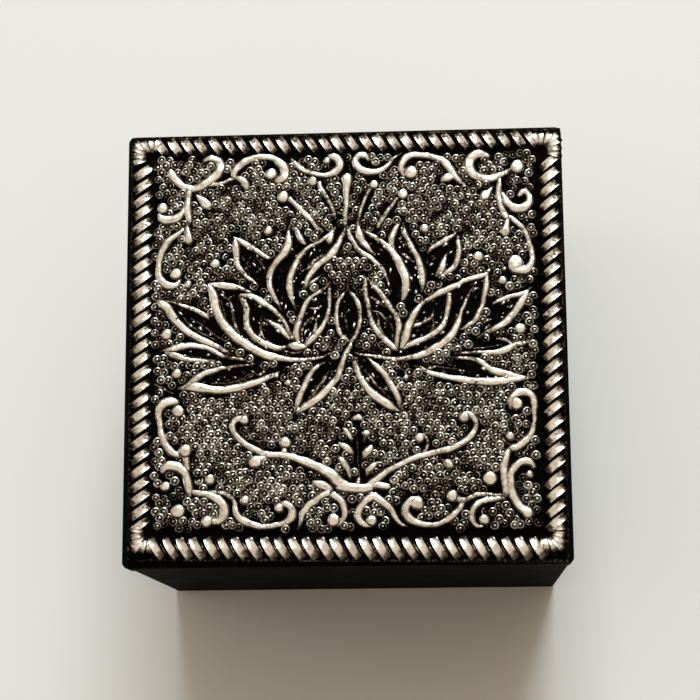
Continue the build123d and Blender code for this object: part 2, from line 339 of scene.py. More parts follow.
# all in mm: half of the drawn plate, then where its four corners really lie
plateSet = {
    "half": 29.2, "backLeft": (-29.47, 29.68), "backRight": (29.88, 29.6),
    "frontRight": (29.35, -29.82), "frontLeft": (-29.2, -29.1),
    "ground": 47.5, "bottom": 47.0, "cells": 146,
}


def onPlate(x, y):
    # a spot on the drawn square, moved to the sheet as it was cut
    u = (x + plateSet["half"]) / (2 * plateSet["half"])
    v = (y + plateSet["half"]) / (2 * plateSet["half"])
    front = Vector(plateSet["frontLeft"]).lerp(Vector(plateSet["frontRight"]), u)
    back = Vector(plateSet["backLeft"]).lerp(Vector(plateSet["backRight"]), u)
    return front.lerp(back, v)


# each line of relief is spots of x y width in mm, x to the right and y away from the front
lotusLines = """
0.3 23 1.3, 0.3 22.2 1.3, 0.25 21 1, 0.2 19 .85, 0.1 17.5 .8, 0 16 .5
0.1 25.5 .25, 0.6 24.2 .3, 0.7 23.3 .3
-3.4 22.2 .6, -3.3 21.6 .65, -2.6 20.3 .65, -2 19.2 .6, -1.5 18 .6, -1.3 16.8 .4
-7.6 20 .8, -7.2 19.6 .8, -6 18.4 .8, -4.9 17.2 .8, -3.9 16 .7, -3 15.2 .5
3.6 21.2 .5, 3.2 20.7 .55, 2.5 19.2 .6, 2 17.8 .6, 1.8 16.3 .55, 1.9 15.3 .5
7.2 19.7 .6, 6.8 19.3 .6, 5.8 18 .7, 4.9 16.7 .7, 4.4 15.6 .5
.2 16.2 .3, -.3 14.8 .7, -.9 13.5 .9, -1.7 12.3 1.1, -2.8 11.3 1, -3.9 10.4 1, -4.8 9.2 .9, -5.3 8 .7, -5.6 7 .35
.3 16.1 .3, .6 14.8 .7, 1.2 13.6 .7, 2.1 12.4 .7, 3.3 11.6 .7, 4.2 10.8 .7, 5.1 9.8 .6, 5.6 8.6 .5, 6.2 6.6 .3
-1.2 15.9 .3, -1.9 15 .7, -3.2 14 .6, -4.6 13.3 .6, -5.8 12.3 .8, -6.6 11 .9, -7.2 9.6 1, -7.5 8.2 1, -7.4 6.8 .8,
-7 5.4 .5, -6.6 4.2 .3
-1.6 15.2 .5, -2 14.2 .9, -2 13.3 .5
-2.3 12.3 .3, -4.2 11.2 .5, -4.6 10.5 .5, -5.8 9.8 .35
-3 9.4 .35, -4.4 8.3 .5, -5.2 7.6 .3
1.8 16 .5, 1.9 15 1, 2.4 13.8 1, 3.1 12.9 .8, 4 11.9 .4
2.3 15.5 .4, 3.5 14.6 .7, 4.9 13.7 .7, 6.1 12.6 .9, 7 11.3 1.1, 7.6 10 1.2, 8.2 8.5 1.2, 8.1 7 1, 7.8 6 .7, 7.5 5.2 .3
-7.4 16.6 .3, -7.7 15 .7, -7.7 13.5 1.2, -8.5 12 1.1, -9.4 11 .9, -10.1 9.6 .9, -10.2 8 .9, -9.8 6.8 .8, -9.2 5.6 .6,
-8.5 4.2 .3
-7.3 16.3 .4, -6.5 15.3 .7, -5.8 14 .8, -5.3 13.4 .4
7.6 16.6 .3, 6.7 15.2 .9, 6.3 14 .9, 6.4 12.8 .7, 7.1 11.5 .5
7.8 16.3 .4, 8 15 .8, 8.5 13.8 .8, 9.2 12.5 .8, 9.8 11.3 .8, 10.2 9.8 1, 10.4 8.3 1, 10.2 6.7 .4
7.3 12.5 .3, 8.3 11.5 .5, 9.3 10.8 .4
-15.1 14.7 .4, -13.7 13.8 .8, -12.3 13 .8, -11.2 12.2 .7, -10.2 11.6 .5
-15 14.4 .5, -14.8 13.3 1, -14.7 12 .9, -14.5 10.8 .8, -13.8 9.7 .7, -12.8 8.8 .6, -11.8 8 .3
-12.8 12 .3, -13.3 10.8 .4, -13 9.5 .3
-12 11.7 .3, -11.2 10.6 .5, -10.8 9.5 .3
15 14.7 .4, 13.7 13.9 .8, 12.4 13.2 .7, 11.4 12.4 .6, 11.1 11.9 .3
15.1 14.4 .5, 15.3 12.8 .8, 15.2 11.5 .8, 14.6 10 .8, 13.4 9.2 .7, 12 8.7 .4
13.9 12.2 .3, 13.3 11 .7, 13 9.9 1, 12.4 9 .6
-18.6 8.2 .5, -17 8 .9, -15.5 7.8 .9, -14 7.5 .6, -13 7.1 .4, -11.8 6.6 .2
-18.6 8.2 .6, -17.9 7 1.1, -17.6 5.5 1.2, -17.2 4.2 1.1, -16.6 3 1.1, -15.8 1.9 1.2, -14.9 .9 1.2, -13.8 .05 1.2,
-12.5 -.8 1.2, -11 -1.6 1.1, -9.5 -2 1, -8 -2.3 .8, -6.5 -2.4 .7, -5 -2.35 .6, -3.5 -2.1 .5, -2.2 -1.6 .4,
-1.2 -1.2 .3
-16.8 6.1 .3, -16.4 4.3 .3, -15.9 2.9 .3, -15.4 2 .2
-16.6 6.3 .3, -15.8 6.1 .4, -15.3 5 .5, -15.1 3.6 .5, -14.7 2.2 .5, -14.2 1.1 .3
-14.5 6.7 .4, -13 6.5 .8, -12 6.1 .9, -11 5.4 .9, -10.1 4.8 .8, -9 3.8 .7, -8.2 2.7 .7, -7.6 1.6 .6, -7 .3 .5
-14.4 6.6 .4, -13.7 5.6 .8, -13.3 4.7 .9, -13.35 3.5 .9, -13.2 2.4 .9, -12.6 1.2 .9, -11.6 .3 .9, -10.3 -.4 .9,
-9 -.75 .8, -8 -.5 .5
-11.4 3.6 .3, -10 2.7 .6, -8.9 2 .8, -8.1 1.2 .8, -7.5 .4 .5
-11.2 3.9 .25, -10 3.2 .25, -8.8 2.4 .25
-11.4 3.4 .3, -11.4 2 .45, -11 .8 .45, -10.2 0 .4, -9.4 -.3 .3
-2 8.4 .3, -2.6 7.5 .5, -4 6.6 .6, -5 5.8 .7, -5.6 4.6 .8, -6.2 3 .9, -6.6 1.5 .9, -6.4 .3 .7, -6.2 -.5 .5
-2 8.3 .4, -2.1 6.5 .6, -2.1 5 .6, -2.4 3.5 .7, -3.2 2 .8, -4 .9 .9, -5 0 .9, -5.7 -.6 .6
-5 4.7 .3, -3.9 4.6 .55, -3.2 5 .3
-4.1 3.6 .3, -5.3 2.7 .5, -5.9 1.3 .4, -5.7 .2 .3
-4 3.3 .4, -4 2.2 .5, -4.3 1.2 .5, -5 .3 .3
-8.2 -.6 .4, -7 -.5 1, -5.8 -.6 .9, -5 -.5 .4
-8.6 -1 .3, -7 -1.4 .4, -5.4 -1.1 .3
.3 7.2 .3, -.5 6.3 .6, -1.1 5 .65, -1.25 3.8 .65, -1.1 2.5 .65, -.8 1.3 .65, -.2 .6 .6, .5 0 .5
.4 7.2 .3, 1.2 6.2 .6, 1.8 5 .65, 1.95 3.5 .65, 1.8 2.2 .65, 1.5 1.2 .65, 1 .3 .6, .7 -.1 .5
-.1 3.8 .25, .1 2.5 .4, .5 .9 .25
.4 8.4 .3, .35 7.6 .45, .35 7 .4
2.5 9.4 .3, 2.7 8 .7, 2.7 6.6 .7, 3 5.3 .7, 3.2 4 .6, 3.7 2.5 .8, 4.5 1 .9, 5.5 0 .9, 6.5 -.9 .8, 7 -1.3 .4
2.8 8.8 .4, 4.2 7.2 .7, 5.2 5.9 .8, 6 4.7 .8, 6.8 3.4 .8, 7.2 2 .8, 7 .7 .8, 6.7 -.8 .5
3 6.1 .3, 3.8 5.8 .45, 4.8 5.1 .45, 5.6 4.6 .3
3.5 4.2 .3, 4.6 3.9 .45, 5.3 3.2 .5, 5.9 3.2 .3
4.4 3.3 .4, 4.5 2 .5, 5.2 .7 .45, 6 -.3 .3
5.3 3 .3, 6.1 2.3 .4, 6.4 1.3 .4, 6.3 .2 .3
19.6 9.8 .3, 18.8 8.9 .7, 17.5 8.6 .8, 16.2 8.2 .8, 15 7.6 .8, 13.8 7 .9, 12.5 6.4 .9, 11.4 5.8 .7, 10.3 5.1 .7,
9.4 4 1, 8.7 2.6 1.1, 8.2 1 1.1, 7.9 0 1, 7.4 -1 .6
19 9 .6, 18.9 7.5 .9, 18.6 6 .8, 18.4 5 .7, 17.9 3.8 .8, 17.3 2.7 .8, 16.2 1.9 .6, 15.4 1.4 .4
17.3 7.4 .3, 16.5 6.2 .5, 16 5 .6, 15.5 4 .6, 15.2 2.8 .8, 14.8 1.8 1, 14.2 .8 1.1, 13.4 -.05 1.1, 12.3 -.8 1.1,
11.1 -1.5 1, 9.8 -2 .9, 8.5 -2.25 .7, 7 -2.4 .65, 5.5 -2.3 .6, 4 -2 .55, 2.5 -1.8 .5, 1 -1.5 .3
13.8 6.8 .5, 13.9 5.5 .8, 13.7 4 .8, 13.3 2.6 .8, 12.5 1.5 .9, 11.3 .7 .8, 10 .1 .9, 8.8 -.4 .8, 7.6 -1 .5
11.8 4.1 .3, 11.5 3.2 .5, 10.3 2.5 .5, 9.2 2 .6, 8.6 1.6 .3
11.7 3 .3, 11.8 1.9 .45, 11.4 1.1 .45, 10.5 .3 .3
1.3 -1.3 .2, 3 -1.2 .3, 4.5 -1.6 .2
-25.8 6.1 .3, -24.9 5.6 1, -24.1 4.9 1.2, -23.4 3.9 1.2, -22.7 3 1.1, -21.5 1.8 1, -20 .8 1, -18.5 .1 .9, -17 -.6 .7,
-15.6 -1.4 .5, -14.8 -1.8 .25
-25.3 6.1 .3, -23 5.6 .4, -21.5 5.1 .6, -20 4.5 .7, -19 3.9 .7, -18.3 3.3 .4
-25 6.4 .2, -22.5 5.9 .25, -20 5.2 .25, -18.7 4.1 .2
-21.9 3.7 .3, -20.8 2.5 .35, -19.4 1.5 .35, -17.4 .4 .25
-20.8 3.5 .3, -19 2.3 .35, -17.4 1 .35, -16.2 .2 .2
-25 -1 .3, -23.3 -.7 .9, -21.5 -.3 .9, -20 -.35 .8, -18.5 -.7 .7, -17.2 -1.4 .7, -16 -1.9 .6, -14.8 -2.1 .5,
-13.3 -2.4 .4, -12.2 -2.9 .3, -11.2 -3.2 .2
-24.4 -1.2 .5, -23 -1.6 .9, -21.2 -2.2 .7, -19.5 -2.35 .6, -18 -2.45 .5, -17 -2.5 .3
-21.8 -1.5 .25, -19.5 -2 .25, -17.6 -2.2 .2
-23 -6.4 .25, -21.3 -5.7 .6, -20.2 -4.9 1, -19.2 -4.2 .9, -18 -3.8 .8, -16.5 -3.4 .6, -15 -3.2 .5, -13.3 -3 .4,
-12.3 -2.95 .25
-21.8 -6.2 .4, -20.4 -6 1.2, -19 -6.2 1.2, -17 -6.4 1.1, -15 -6.2 1.1, -13 -5.7 1, -11 -5 .9, -9.5 -4.3 .7, -8.8 -4 .4
-18 -5.4 .3, -15.5 -5.4 .35, -13 -4.7 .35, -11.5 -4.2 .25
-15 -4.9 .25, -13 -4.4 .35, -12 -4.1 .25
-25.8 -5.5 .3, -24.5 -6.2 .5, -23 -6.9 .25
25 7.1 .3, 23.8 6.3 .7, 22.3 5.9 .7, 21 5.5 .7, 19.9 5 .5, 19.5 4.7 .3
24.4 6.6 .6, 23.5 5 1.1, 22.8 4 1.1, 22 3 1.1, 21 2.2 1, 19.8 1.5 .8, 18.5 .9 .5, 17.7 .4 .35, 17.1 .05 .2
25.4 7.7 .2, 23.5 7.1 .3, 21.6 6.4 .25, 19.8 5.6 .2
25.4 -.1 .3, 23.9 -.4 .6, 22.4 -.8 .9, 21.4 -1.35 1, 20.3 -1.65 .9, 19 -1.7 .7, 17.5 -1.6 .5, 16 -1.7 .4,
14.5 -1.85 .25
22.4 -.8 .6, 21.7 -.2 .55, 21 .1 .5, 20.1 .2 .3
20.8 -.6 .25, 18.5 -1 .3, 16 -1.1 .25, 15.3 -1.2 .2
14 -2.2 .25, 15.5 -2.35 .5, 17 -2.45 .6, 18 -2.9 .8, 19 -3.7 .9, 20 -4.3 1, 21.2 -4.55 1, 22.4 -4.9 .9, 24.6 -5.15 .3
9 -3.3 .3, 10 -3.7 .6, 11.2 -4.3 .7, 13 -4.8 .8, 15 -5.2 .9, 17 -5.5 1, 18.7 -5.6 1.1, 20.5 -5.6 1.1, 22 -5.35 1,
23.5 -5.2 .7, 24.6 -5.2 .3
10.5 -3.2 .25, 13 -3.6 .35, 15 -3.9 .3, 16.8 -4.4 .2
.8 .1 .4, .6 -.6 .8, .1 -1.5 .8, -.3 -2.5 .8, -.7 -3.7 .9, -1.1 -4.8 .95, -2 -5.9 1, -3 -7 1.1, -4.3 -8 1.1,
-5.5 -8.8 1, -6.7 -9.7 .4
-2.5 -2.6 .3, -3.8 -3.3 .6, -4.7 -4.3 .8, -5.3 -5.5 .9, -6 -7 .9, -6.4 -8.2 .8, -6.7 -9.7 .3
-2.2 -3.8 .25, -3 -5.3 .5, -4.2 -6.8 .5, -5.5 -8.2 .25
1.1 -2 .3, 1.3 -3 .8, 1.7 -4.2 .9, 2.3 -5.5 .95, 3.3 -6.8 1.1, 4.8 -8 1.1, 6.2 -8.9 1, 7.5 -9.7 .3
2.9 -2.2 .4, 4.2 -3.4 .8, 5.3 -4.6 .85, 6.1 -6 .9, 6.9 -7.5 .9, 7.3 -8.8 .5, 7.5 -9.7 .2
2.4 -3.4 .25, 3.2 -4.8 .45, 4.6 -6.4 .45, 6 -7.8 .25
"""

scrollLines = """
-24 24.3 .8, -23.6 23.7 1.2, -23 22.9 1.1, -22 22 1, -20.8 21.6 1, -19.5 22 1.2, -18.2 23 1.3, -17.2 23.9 1.4,
-16.9 25 1.2, -17.5 25.7 1, -18.5 25.9 .9, -19.3 25.6 .6
-19.5 21.9 .6, -18 22.2 .7, -16.8 22.3 .6, -15.7 22.8 .6, -14.9 23.1 .6
-15.1 22.8 .6, -14.9 24.1 1, -14 25 1.1, -12.8 25.7 1, -11.5 25.9 .9, -10 25.8 .9, -8.9 25.1 1.1, -8.1 24 1.3,
-8.4 22.9 1.3, -9.3 22.5 1
-14.7 23.1 .7, -13.9 22.6 1, -13.4 21.9 1, -13.2 21 .4
-21.1 21.6 .8, -21.4 20 .9, -21.4 18.8 1.1, -21.2 17.5 1, -21.3 16.3 .6
-21.8 19.2 .5, -22.4 17.9 1, -23.6 17.3 1.2, -24.8 17.4 1.1, -25.4 18.3 .5
-20.3 20.8 .4, -19.4 19.9 1.1, -18.7 19.2 1.3, -18.2 18.6 .6
-21.5 16.4 .5, -21.4 15.2 1.1, -21.2 14.3 1.2, -21 13.7 .5
-21.9 16 .5, -22.8 15.2 .8, -23.8 14.5 1, -24.6 13.4 1, -25.1 11.9 .9, -25.3 10.4 .9, -25 9 1, -24.2 8.1 1.1,
-23 8.1 .9, -22.2 8.9 .5
-7.3 25.8 .3, -7 25.2 .6, -6.3 24.5 .8, -5.2 23.8 .8, -4 23.4 .7, -2.8 23.2 .8, -1.7 23.4 1, -.8 24.1 1.1,
-.7 25 1.1, -1.4 25.7 1, -2.3 25.8 .7
7.8 26.1 .3, 6.6 25.3 .6, 5.8 24.4 .7, 4.6 23.6 .9, 3.2 23.5 1, 2 24 1.1, 1.5 25 1, 1.9 25.8 .9, 2.8 25.8 .9,
3.3 25.1 .5
8.2 22.7 .6, 7.7 23.9 .9, 8 25 1, 9 25.7 1, 10.5 25.7 .9, 12 25.4 .9, 13.3 24.9 1, 14.1 24 1.1, 14.7 23 1,
15.5 22 .8, 16.6 21.1 .3
15.1 22.7 .5, 14.2 22.5 1.1, 13.5 22.3 1.1, 13 21.9 .5
19.6 25.3 .6, 18.5 25.7 1, 17.4 25.4 1.3, 16.8 24.3 1.4, 17.1 23.2 1.4, 18 22.5 1.2, 19.5 22.2 1, 20.8 22.6 .9,
22 23.2 .7, 22.7 23.6 .5
20.9 22.2 .6, 20.8 20.6 .8, 20.9 19 .8, 21.2 17.8 .8, 21.8 16.7 .9
21 20.8 .4, 21.6 19.4 .9, 22.3 18.4 1.1, 23.3 17.9 1.2, 24.3 18.2 1.2, 24.9 19.1 1, 24.7 20 .8, 24 20.3 .9,
23.5 19.7 .6
20 21.2 .3, 19.5 20.4 .8, 18.9 19.8 1.4, 18.5 19.3 .7
21.9 16.6 .6, 21.7 15.5 1, 21.6 14.8 1.4, 21.6 14.2 .8
21.9 17 .6, 22.8 16.3 .8, 23.9 15.2 .8, 24.6 13.8 .8, 25 12.3 .8, 25.1 11 .9, 24.7 9.9 1.1, 23.6 9.4 1.2,
22.5 9.8 1.1, 22.5 10.9 .9, 23.3 11.2 .6
-22.4 -8 .7, -23.4 -7.9 1.2, -24.6 -8.3 1.2, -25.1 -9.4 1, -24.9 -10.6 .8, -24.7 -12 .9, -24.2 -13.5 1,
-23.3 -14.7 1, -22.3 -15.2 .7
-21.4 -15.4 .9, -21.2 -16.3 .8, -21 -17.2 .5
-24.7 -17.5 .6, -24.1 -16.7 1.1, -23 -16.6 1.3, -22 -17 1.2, -21.4 -17.8 1.1, -21.1 -18.8 1.1, -20.9 -19.8 1,
-20.9 -20.8 .5
-20.8 -19.9 .6, -19.8 -20.2 .8, -18.5 -20.4 .9, -17.5 -20.8 1.1, -16.6 -21.5 1.2, -16.2 -22.4 1.2, -16.3 -23.3 1.2,
-17 -23.9 1.1, -18 -24 .9
-19 -20 .4, -17 -20.1 .6, -15.8 -20.5 .6, -15 -21.2 .6, -14.7 -22.3 .8, -14.3 -23.4 1, -13.2 -24.1 1, -12 -24.5 .9,
-10.8 -24.7 .8, -9.5 -24.5 .8, -8.1 -24.1 .9, -7.2 -23.3 1.1, -7.2 -22.4 1, -8 -21.7 .9, -8.7 -21.6 .5
-13.2 -10.4 .8, -14.4 -10.3 .9, -15.1 -10.8 .9, -15.1 -11.7 .9, -14.6 -12.6 .9, -13.8 -13.4 .9, -12.8 -14.1 .9,
-11.6 -14.7 .9, -10.3 -15.1 .9, -8.8 -15.2 .9, -7.5 -15.4 1, -6 -15.9 1.1, -4.5 -16.5 1.2, -3 -17.2 1.3,
-1.9 -17.9 1.4, -1 -18.8 1.4, 0 -19.4 1.3, .8 -19.5 .7
-8.1 -14.1 .6, -8.2 -15 .9
-12.3 -16.2 1.3, -11.2 -15.6 .9, -10.2 -15.3 .5
-4.5 -18.7 .5, -3.8 -19 1, -2.8 -19.4 1.1, -1.8 -19.8 .7
15.4 -9.9 .6, 16.5 -10 .9, 17.2 -10.8 .8, 17.2 -11.8 .8, 16.5 -12.8 .9, 15.5 -13.6 .9, 14.3 -14.3 .9, 12.5 -14.8 .9,
10.8 -15.2 .9, 9.3 -15.6 .9, 7.8 -16.2 .9, 6.4 -16.9 .9, 5.2 -17.6 .9, 4.1 -18.4 1, 3.2 -19.1 1
10.2 -15 .5, 10.8 -14 .5, 10.8 -13.1 .5, 10.1 -12.6 .6
12.6 -15.9 .4, 13.3 -16.3 1, 13.8 -16.8 1, 13.9 -17.3 .4
3.4 -19.2 .9, 4.5 -19.3 1, 5.6 -19.5 .8, 6 -19.7 .3
.7 -10.7 .5, 1.3 -10.3 .9, 1.9 -10.3 .9, 2.4 -10.7 .4
1.4 -11.8 .3, 1.5 -14 .35, 1.6 -16 .35, 1.6 -18 .4, 1.5 -19.6 .9
-.5 -11.6 .4, .1 -12.2 .8, .7 -13.1 .6, .9 -13.7 .3
2.7 -12.3 1.2, 2.6 -12.9 .6, 2.4 -13.5 .3
-1 -13.6 .4, -.3 -14 .9, .5 -14.7 .8, 1 -15.8 .3
3.6 -14 .5, 3.2 -14.4 1, 2.7 -15 1.1, 2.3 -15.9 .4
-1.2 -15.3 .4, -.5 -16 .9, .2 -17 .8, .6 -18.4 .4
4.2 -16.2 .4, 3.7 -16.6 .9, 3.1 -17.2 .9, 2.6 -18 .4
-1 -19.3 1.2, .5 -19.6 1.3, 2 -19.7 1.2, 3.4 -19.5 1.2
-2.2 -20.2 1, -3.2 -20.6 1, -4.2 -21.3 1, -5.1 -22 1, -5.8 -22.9 .9, -6.1 -24 .6, -6.4 -25 .3
-1.8 -20.4 1, -.7 -21.3 .9, -.2 -22.4 .9, -.3 -23.5 .8, -1 -24.3 .7, -1.9 -24.5 .4
3.6 -20.6 1.1, 2.5 -21.4 1, 1.7 -22.4 1, 1.6 -23.5 1, 2.3 -24.4 .8, 3.4 -24.5 .5
3.6 -20.6 1, 4.7 -21.4 1.1, 5.8 -22.3 1, 6.4 -23.3 .8, 7.1 -24.2 .6, 8 -24.7 .4
9.8 -21 .7, 8.5 -21.4 1.1, 7.8 -22.4 1.1, 8.2 -23.5 1.1, 9.3 -24.2 .9, 10.8 -24.5 .8, 12.3 -24.3 .9, 13.6 -23.6 .9,
14.6 -22.7 .9, 15.2 -21.8 .8, 15.4 -21.1 .6
14.4 -20.9 .9, 15.3 -21.2 .8, 16.3 -20.9 .7, 17.5 -20.5 .6, 19 -20.6 .6, 20.8 -20.7 .6
20.9 -21 .6, 19.6 -21.1 .8, 18.4 -21.3 .9, 17.2 -21.8 .9, 16.6 -22.7 .9, 16.6 -23.8 .8, 17.2 -24.6 .6, 18 -24.7 .4
24.9 -17 .6, 24.4 -16.4 .9, 23.4 -16.2 1, 22.4 -16.8 1, 21.8 -17.8 1, 21.7 -19 1, 21.9 -20.3 1.1, 22.4 -21.4 1.1,
23.1 -22.3 1.1, 24 -22.9 1.2
21.6 -14.5 .6, 21.2 -15.6 .9, 20.9 -17 1, 20.9 -18.5 1, 21.1 -19.7 .9, 21 -20.9 .6
21.9 -9.2 .6, 21.9 -8.2 .9, 22.5 -7.3 1, 23.5 -7 1, 24.5 -7.3 1, 25 -8.3 .9, 25 -9.8 .7, 24.9 -11.3 .7,
24.5 -12.6 .9, 23.6 -13.6 1, 22.6 -14.3 1, 21.7 -14.5 .8
20.6 -12.7 .3, 20.9 -13.5 .5, 21.7 -14 .5, 22.7 -13.9 .4
"""

# beads are x y radius in mm
beadPlaces = """
-24.1 1.3 .85, -22.7 -4.1 .75, -21.3 8.2 .6, -17.6 11 .75, -10.4 15.5 .75, 10.7 15.4 .75, 17.9 11.4 .8, 21.1 8.1 .7
21.3 9.7 .35, 23.3 1.5 .85, -7.7 -5.5 .55, -9.3 -4.4 .5, 8.1 -4.9 .5, -4.4 22.3 .8, -8.4 20.2 .9, 4 21.7 .75
7.9 20.3 .8, -24.8 18.9 .85, 23.3 23.8 1.05, -2.4 25.2 .6, 9 23.3 1, -10 23.5 .9, -22.9 9.7 .9, 22.9 10.5 1.1
-22.5 -9.2 .9, -21.5 -14.6 1, -24.1 -19.3 .75, -18.1 -18.4 .8, -22.4 -22.6 1.05, -18.5 -24 .9, -13.5 -21.2 .75,
-13.6 -10.5 .75
-8.1 -13.5 .9, -12.1 -16.1 .95, -8.9 -22.2 .7, -1.7 -23.8 .95, 3.3 -23.9 .8, 9.4 -21.7 1, 14 -20.7 .9, 15.7 -10.3 .8
9.8 -13 .75, 19 -18.4 1, 22.7 -8.6 .9, 21.7 -12.9 .7, 24.2 -17.9 .6, 23.9 -23 .8, 18.2 -23.8 .8
"""

# the smooth fields inside the petals, where no rings are stamped, as x y in mm
petalFields = """
-15.1 14.7, -12.3 13, -10.2 11.6, -10.3 8, -11.8 7.5, -13.8 9.5, -14.7 12
15 14.7, 12.4 13.2, 10.5 11.8, 10.4 9, 12 8.5, 13.4 9.2, 15.2 11.5
-7.4 16.6, -8.5 12, -10.2 9.6, -10 6.8, -8.5 4.2, -6 6, -7.2 10, -6 12.3, -5.3 13.4
7.6 16.6, 9.2 12.5, 10.3 9.3, 10.2 6.7, 8.3 4.5, 7.6 6, 8.2 8.5, 7.6 10, 6 12.8, 6.3 14
-1.2 15.9, -3.2 14, -5.8 12.3, -7.2 9.6, -7.5 7, -6.6 4.2, -5.6 7, -4.8 9.2, -2.8 11.3, -.9 13.5
1.8 16, 4.9 13.7, 7 11.3, 8.2 8.5, 8 6, 7.5 5.2, 6.2 6.6, 5.1 9.8, 3.3 11.6, 1.2 13.6
-18.6 8.2, -14 7.5, -11 5.4, -8.2 2.7, -7 .3, -8 -1.5, -12.5 -.8, -15.8 1.9, -17.6 5.5
-2 8.4, -5 5.8, -6.6 1.5, -6.2 -.6, -5 -.3, -3.2 2, -2.1 5
.35 7.2, -1.25 3.8, -.8 1.3, .5 -.1, 1.5 1.2, 1.95 3.5
2.6 9.2, 5.2 5.9, 7.2 2, 6.9 -1.2, 4.5 1, 3 5.3
19.3 9.5, 15 7.6, 11.4 5.8, 9 3.2, 7.9 0, 7.2 -1.6, 12.3 -.8, 15.2 2.5, 17.9 3.8, 18.9 7.5
-25.8 6.1, -22 4.9, -18.3 3.4, -16.2 .2, -17 -.6, -20 .8, -22.7 3
25 7, 22 5.7, 19.5 4.7, 17.8 .6, 20 1.6, 22.8 4
-25 -1, -21.5 -.3, -18.5 -.7, -16 -2, -19.5 -2.35, -22 -2
-23 -6.4, -20.2 -4.9, -16.5 -3.4, -9 -4, -12 -5.4, -17 -6.4
20 -4.3, 24.6 -5.2, 20.5 -5.6, 13 -4.8, 9 -3.3, 15.5 -2.35
.6 -.6, -.7 -3.7, -3 -7, -6.7 -9.7, -6 -7, -4.7 -4.3, -2.5 -2.6
1.1 -2, 2.3 -5.5, 4.8 -8, 7.5 -9.7, 6.9 -7.5, 5.3 -4.6, 2.9 -2.2
"""


def readRows(text):
    # a line that ends in a comma goes on in the next one
    lines = text.strip().replace(",\n", ",").splitlines()
    return [[tuple(float(n) for n in spot.split()) for spot in row.split(",")] for row in lines]


def inside(x, y, outline):
    hit = False
    for (x1, y1), (x2, y2) in zip(outline, outline[1:] + outline[:1]):
        if (y1 > y) != (y2 > y) and x < (x2 - x1) * (y - y1) / (y2 - y1) + x1:
            hit = not hit
    return hit


fields = readRows(petalFields)
ridgeRows = {"lotusRelief": readRows(lotusLines), "scrollRelief": readRows(scrollLines)}
beads = [spot for row in readRows(beadPlaces) for spot in row]


def drawSection(outline):
    shape = bpy.data.curves.new("section", "CURVE")
    shape.dimensions = "2D"
    line = shape.splines.new("POLY")
    line.points.add(len(outline) - 1)
    for point, (x, y) in zip(line.points, outline):
        point.co = (x * mm, y * mm, 0, 1)
    line.use_cyclic_u = True
    holder = bpy.data.objects.new("section", shape)
    bpy.context.scene.collection.objects.link(holder)
    return holder


def sweepRows(name, rows, outline, smooth, flat):
    # each row of x y width height becomes one bar with the given section
    section = drawSection(outline)
    shape = bpy.data.curves.new(name, "CURVE")
    shape.dimensions = "2D" if flat else "3D"
    if not flat:
        shape.twist_mode = "Z_UP"
    shape.bevel_mode = "OBJECT"
    shape.bevel_object = section
    shape.use_fill_caps = True
    shape.resolution_u = smooth
    for row in rows:
        line = shape.splines.new("BEZIER")
        line.bezier_points.add(len(row) - 1)
        for point, (x, y, w, z) in zip(line.bezier_points, row):
            spot = onPlate(x, y)
            point.co = (spot.x * mm, spot.y * mm, z * mm)
            point.radius = w / 2
            point.handle_left_type = "AUTO"
            point.handle_right_type = "AUTO"
        if flat:
            line.radius_interpolation = "CARDINAL"
    piece = bpy.data.objects.new(name, shape)
    bpy.context.scene.collection.objects.link(piece)
    pickOnly(piece)
    bpy.ops.object.convert(target="MESH")
    piece = bpy.context.view_layer.objects.active
    bpy.data.objects.remove(section)
    return piece


def ridePlate(piece):
    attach(piece, "lid")
    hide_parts("relief_plate")


ridgeSet = {
    "section": ((-1.2, -.3), (-1.1, .1), (-.84, .5), (-.42, .7), (0, .71), (.42, .7), (.84, .5), (1.1, .1), (1.2, -.3)),
    "smooth": 5, "broad": 1.14, "angle": 70,
    "blunt": 0.45, "tip": 0.42, "tipReach": 0.36,       # ends wider than blunt close with a narrower point
    "height": 0.6, "rise": 0.25,                        # the tallest line in mm, and how soon a line gets there
    "waver": 0.11, "waverScale": 0.9,                   # sideways wander in mm, and its pace per mm
    "swells": ((0.45, 9.0, 0.16), (1.1, 4.0, 0.08)),    # pace per mm, layer and share of each rise and fall
}


def roundTips(row):
    # a blunt end gets one more, narrower point, so that it closes like the end of a modelling tool's stroke
    row = list(row)
    for end, other in ((0, 1), (-1, -2)):
        x, y, w = row[end]
        if w > ridgeSet["blunt"]:
            ox, oy, _ = row[other]
            length = math.hypot(x - ox, y - oy)
            reach = ridgeSet["tipReach"]
            tip = (x + (x - ox) / length * w * reach, y + (y - oy) / length * w * reach, w * ridgeSet["tip"])
            row.insert(0, tip) if end == 0 else row.append(tip)
    return row


def handWork(piece):
    # narrow lines stand nearly as high as wide ones, tops are flattened, and the tool never ran quite true
    ground, pace = plateSet["ground"], ridgeSet["waverScale"]
    for vertex in piece.data.vertices:
        x, y, z = vertex.co / mm
        height = z - ground
        if height > 0:
            height = ridgeSet["height"] * (1 - math.exp(-height / ridgeSet["rise"]))
        push = noise.noise_vector((x * pace, y * pace, 3.0)) * ridgeSet["waver"]
        lift = 1.0
        for scale, layer, share in ridgeSet["swells"]:
            lift += share * noise.noise((x * scale, y * scale, layer))
        vertex.co = ((x + push.x) * mm, (y + push.y) * mm, (ground + height * lift) * mm)


for name, rows in ridgeRows.items():
    drawn = [[(x, y, w * ridgeSet["broad"], 0.0) for x, y, w in roundTips(row)] for row in rows]
    ridges = sweepRows(name, drawn, ridgeSet["section"], ridgeSet["smooth"], True)
    ridges.location = (0, 0, plateSet["ground"] * mm)
    settle(ridges)
    handWork(ridges)
    finishMesh(ridges, pewter, ridgeSet["angle"])
    ridePlate(ridges)
print("ridges are drawn")

